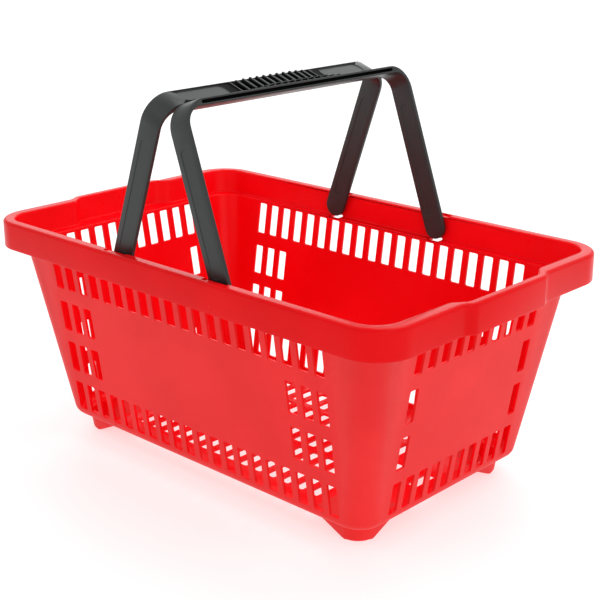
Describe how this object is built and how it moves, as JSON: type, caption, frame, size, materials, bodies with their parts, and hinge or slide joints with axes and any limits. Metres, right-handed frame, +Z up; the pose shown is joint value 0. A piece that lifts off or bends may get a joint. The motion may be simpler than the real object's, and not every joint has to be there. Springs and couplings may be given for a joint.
{
  "type": "shopping basket",
  "caption": "Open-topped tapered plastic hand basket with slotted walls and floor, a deep rolled rim, corner feet and folding carrying handles.",
  "frame": {"origin": "middle of the basket's footprint, on the plane its feet stand on", "axes": "+Z up; X along the long sides, through the short ends; Y across the basket, along the handles' pivot lines"},
  "size_m": [0.491, 0.3066, 0.3502],
  "materials": {
    "basket_plastic": "glossy red moulded polypropylene",
    "handle_plastic": "satin black moulded polypropylene"
  },
  "bodies": {
    "basket": {"basket_body": "basket_plastic"},
    "left_handle": {"handle_left": "handle_plastic"},
    "right_handle": {"handle_right": "handle_plastic"}
  },
  "joints": [
    {"name": "handle_left_hinge", "type": "hinge", "parent": "basket", "child": "left_handle", "pos_m": [-0.0627, 0, 0.199], "axis": [0, -1, 0], "range_deg": [0, 109.5]},
    {"name": "handle_right_hinge", "type": "hinge", "parent": "basket", "child": "right_handle", "pos_m": [0.0627, 0, 0.199], "axis": [0, 1, 0], "range_deg": [0, 109.5]}
  ]
}
